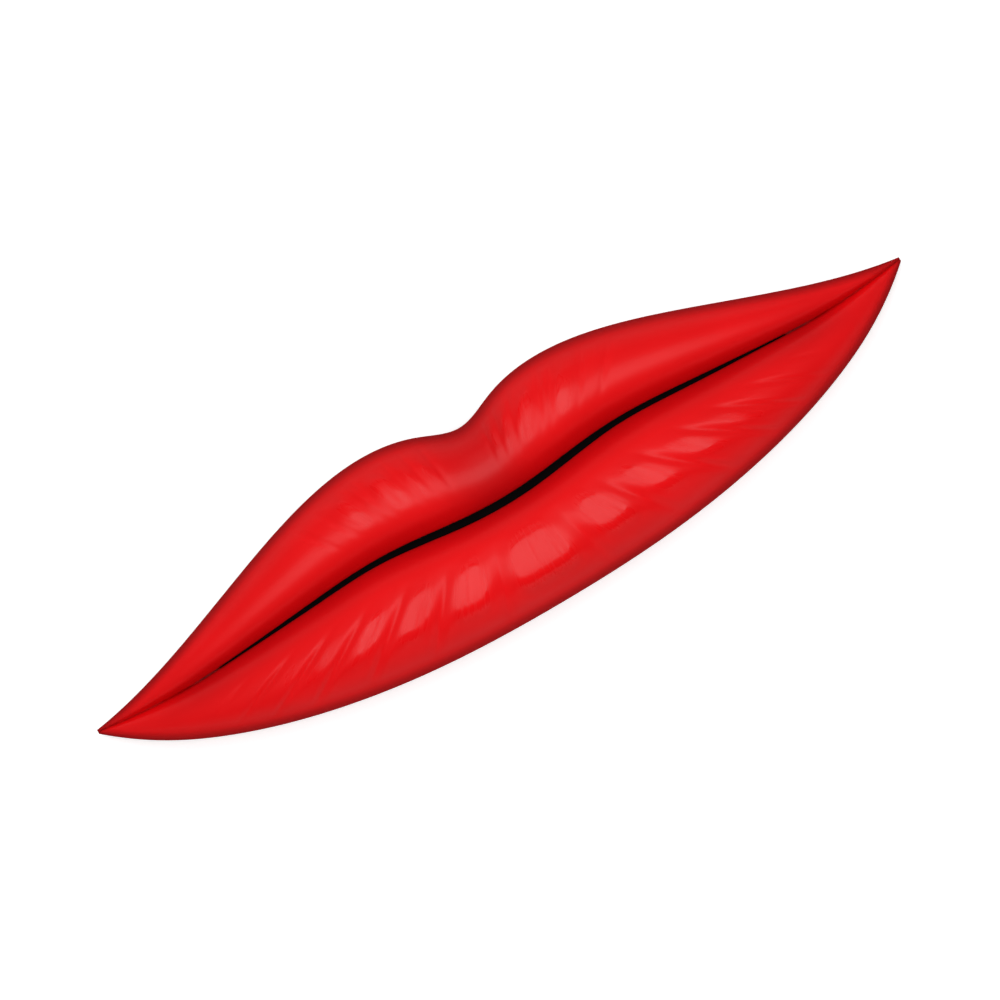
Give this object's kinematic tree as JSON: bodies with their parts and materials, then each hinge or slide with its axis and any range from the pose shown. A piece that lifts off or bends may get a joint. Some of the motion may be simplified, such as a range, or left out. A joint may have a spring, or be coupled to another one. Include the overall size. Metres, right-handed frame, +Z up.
{
  "type": "novelty telephone",
  "caption": "One-piece desk telephone shaped as a pair of glossy red lips with a black mouth line; keypad, earpiece, microphone and hook plunger on its underside.",
  "frame": {"origin": "on the table, under the middle of the lips' outline", "axes": "+X from the microphone end to the earpiece end, +Y towards the upper lip, +Z up from the table"},
  "size_m": [0.24, 0.058, 0.044],
  "materials": {
    "lip_red": "high gloss moulded plastic",
    "mouth_black": "glossy black plastic",
    "plate_red": "fine moulded texture",
    "foot_rubber": "soft matt rubber",
    "screw_steel": "zinc plated",
    "board_laminate": "paper laminate",
    "chip_resin": "moulded resin",
    "capacitor_sleeve": "shrink sleeve",
    "crystal_can": "drawn can",
    "mat_rubber": "silicone rubber",
    "hook_plastic": "moulded plastic",
    "spring_steel": "spring wire",
    "switch_plastic": "moulded plastic",
    "contact_brass": "sheet brass",
    "capsule_plastic": "moulded plastic",
    "magnet_iron": "sintered",
    "diaphragm_metal": "thin sheet",
    "gasket_rubber": "foam rubber",
    "clamp_steel": "pressed sheet",
    "microphone_can": "drawn can",
    "jack_plastic": "moulded plastic",
    "ballast_steel": "sawn bar",
    "lead_red": "soft insulation",
    "lead_black": "soft insulation",
    "lead_yellow": "soft insulation",
    "lead_green": "soft insulation",
    "key_ivory": "satin moulded plastic",
    "function_key_grey": "satin moulded plastic"
  },
  "bodies": {
    "housing": {"lips_shell": "lip_red", "mouth_line_strip": "mouth_black", "base_plate": "plate_red", "rubber_feet": "foot_rubber", "housing_screws": "screw_steel", "board_screws": "screw_steel", "ballast_screws": "screw_steel", "receiver_clamp_screws": "screw_steel", "circuit_board": "board_laminate", "dialler_chip": "chip_resin", "line_capacitors": "capacitor_sleeve", "dial_crystal": "crystal_can", "keypad_mat": "mat_rubber", "hook_spring": "spring_steel", "hook_pin": "spring_steel", "hook_switch_frame": "switch_plastic", "ringer_switch_body": "switch_plastic", "dial_mode_switch_body": "switch_plastic", "receiver_gasket": "gasket_rubber", "receiver_frame": "capsule_plastic", "receiver_diaphragm": "diaphragm_metal", "receiver_magnet": "magnet_iron", "receiver_clamp": "clamp_steel", "microphone_boot": "gasket_rubber", "microphone_capsule": "microphone_can", "ringer_case": "capsule_plastic", "ringer_disc": "contact_brass", "line_jack": "jack_plastic", "line_jack_contacts": "contact_brass", "ballast_bar": "ballast_steel", "receiver_leads": "lead_red", "microphone_leads": "lead_black", "ringer_leads": "lead_yellow", "jack_leads": "lead_green"},
    "key_1": {"key_1": "key_ivory"},
    "key_2": {"key_2": "key_ivory"},
    "key_3": {"key_3": "key_ivory"},
    "key_4": {"key_4": "key_ivory"},
    "key_5": {"key_5": "key_ivory"},
    "key_6": {"key_6": "key_ivory"},
    "key_7": {"key_7": "key_ivory"},
    "key_8": {"key_8": "key_ivory"},
    "key_9": {"key_9": "key_ivory"},
    "key_star": {"key_star": "key_ivory"},
    "key_0": {"key_0": "key_ivory"},
    "key_hash": {"key_hash": "key_ivory"},
    "key_redial": {"key_redial": "function_key_grey"},
    "key_flash": {"key_flash": "function_key_grey"},
    "key_mute": {"key_mute": "function_key_grey"},
    "hook_plunger": {"hook_plunger": "hook_plastic"},
    "hook_lever": {"hook_lever": "contact_brass"},
    "ringer_switch_knob": {"ringer_switch_knob": "hook_plastic"},
    "dial_mode_switch_knob": {"dial_mode_switch_knob": "hook_plastic"}
  },
  "joints": [
    {"name": "key_1_press", "type": "slide", "parent": "housing", "child": "key_1", "axis": [0, 0, 1], "range_m": [0, 0.0014], "stiffness_N_per_m": 250, "springref_m": -0.002, "deforming": ["keypad_mat"]},
    {"name": "key_2_press", "type": "slide", "parent": "housing", "child": "key_2", "axis": [0, 0, 1], "range_m": [0, 0.0014], "stiffness_N_per_m": 250, "springref_m": -0.002, "deforming": ["keypad_mat"]},
    {"name": "key_3_press", "type": "slide", "parent": "housing", "child": "key_3", "axis": [0, 0, 1], "range_m": [0, 0.0014], "stiffness_N_per_m": 250, "springref_m": -0.002, "deforming": ["keypad_mat"]},
    {"name": "key_4_press", "type": "slide", "parent": "housing", "child": "key_4", "axis": [0, 0, 1], "range_m": [0, 0.0014], "stiffness_N_per_m": 250, "springref_m": -0.002, "deforming": ["keypad_mat"]},
    {"name": "key_5_press", "type": "slide", "parent": "housing", "child": "key_5", "axis": [0, 0, 1], "range_m": [0, 0.0014], "stiffness_N_per_m": 250, "springref_m": -0.002, "deforming": ["keypad_mat"]},
    {"name": "key_6_press", "type": "slide", "parent": "housing", "child": "key_6", "axis": [0, 0, 1], "range_m": [0, 0.0014], "stiffness_N_per_m": 250, "springref_m": -0.002, "deforming": ["keypad_mat"]},
    {"name": "key_7_press", "type": "slide", "parent": "housing", "child": "key_7", "axis": [0, 0, 1], "range_m": [0, 0.0014], "stiffness_N_per_m": 250, "springref_m": -0.002, "deforming": ["keypad_mat"]},
    {"name": "key_8_press", "type": "slide", "parent": "housing", "child": "key_8", "axis": [0, 0, 1], "range_m": [0, 0.0014], "stiffness_N_per_m": 250, "springref_m": -0.002, "deforming": ["keypad_mat"]},
    {"name": "key_9_press", "type": "slide", "parent": "housing", "child": "key_9", "axis": [0, 0, 1], "range_m": [0, 0.0014], "stiffness_N_per_m": 250, "springref_m": -0.002, "deforming": ["keypad_mat"]},
    {"name": "key_star_press", "type": "slide", "parent": "housing", "child": "key_star", "axis": [0, 0, 1], "range_m": [0, 0.0014], "stiffness_N_per_m": 250, "springref_m": -0.002, "deforming": ["keypad_mat"]},
    {"name": "key_0_press", "type": "slide", "parent": "housing", "child": "key_0", "axis": [0, 0, 1], "range_m": [0, 0.0014], "stiffness_N_per_m": 250, "springref_m": -0.002, "deforming": ["keypad_mat"]},
    {"name": "key_hash_press", "type": "slide", "parent": "housing", "child": "key_hash", "axis": [0, 0, 1], "range_m": [0, 0.0014], "stiffness_N_per_m": 250, "springref_m": -0.002, "deforming": ["keypad_mat"]},
    {"name": "key_redial_press", "type": "slide", "parent": "housing", "child": "key_redial", "axis": [0, 0, 1], "range_m": [0, 0.0014], "stiffness_N_per_m": 250, "springref_m": -0.002, "deforming": ["keypad_mat"]},
    {"name": "key_flash_press", "type": "slide", "parent": "housing", "child": "key_flash", "axis": [0, 0, 1], "range_m": [0, 0.0014], "stiffness_N_per_m": 250, "springref_m": -0.002, "deforming": ["keypad_mat"]},
    {"name": "key_mute_press", "type": "slide", "parent": "housing", "child": "key_mute", "axis": [0, 0, 1], "range_m": [0, 0.0014], "stiffness_N_per_m": 250, "springref_m": -0.002, "deforming": ["keypad_mat"]},
    {"name": "hook_plunger_slide", "type": "slide", "parent": "housing", "child": "hook_plunger", "axis": [0, 0, -1], "range_m": [0, 0.0032], "stiffness_N_per_m": 60, "springref_m": 0.006, "deforming": ["hook_spring"]},
    {"name": "hook_lever_tilt", "type": "hinge", "parent": "housing", "child": "hook_lever", "pos_m": [-0.022, -0.00305, 0.01885], "axis": [0, -1, 0], "range_deg": [0, 18.2]},
    {"name": "ringer_switch_slide", "type": "slide", "parent": "housing", "child": "ringer_switch_knob", "axis": [1, 0, 0], "range_m": [0, 0.004]},
    {"name": "dial_mode_switch_slide", "type": "slide", "parent": "housing", "child": "dial_mode_switch_knob", "axis": [1, 0, 0], "range_m": [0, 0.003]}
  ],
  "couplings": [
    {"joint": "hook_lever_tilt", "follows": "hook_plunger_slide", "rad_per_m": 98}
  ]
}
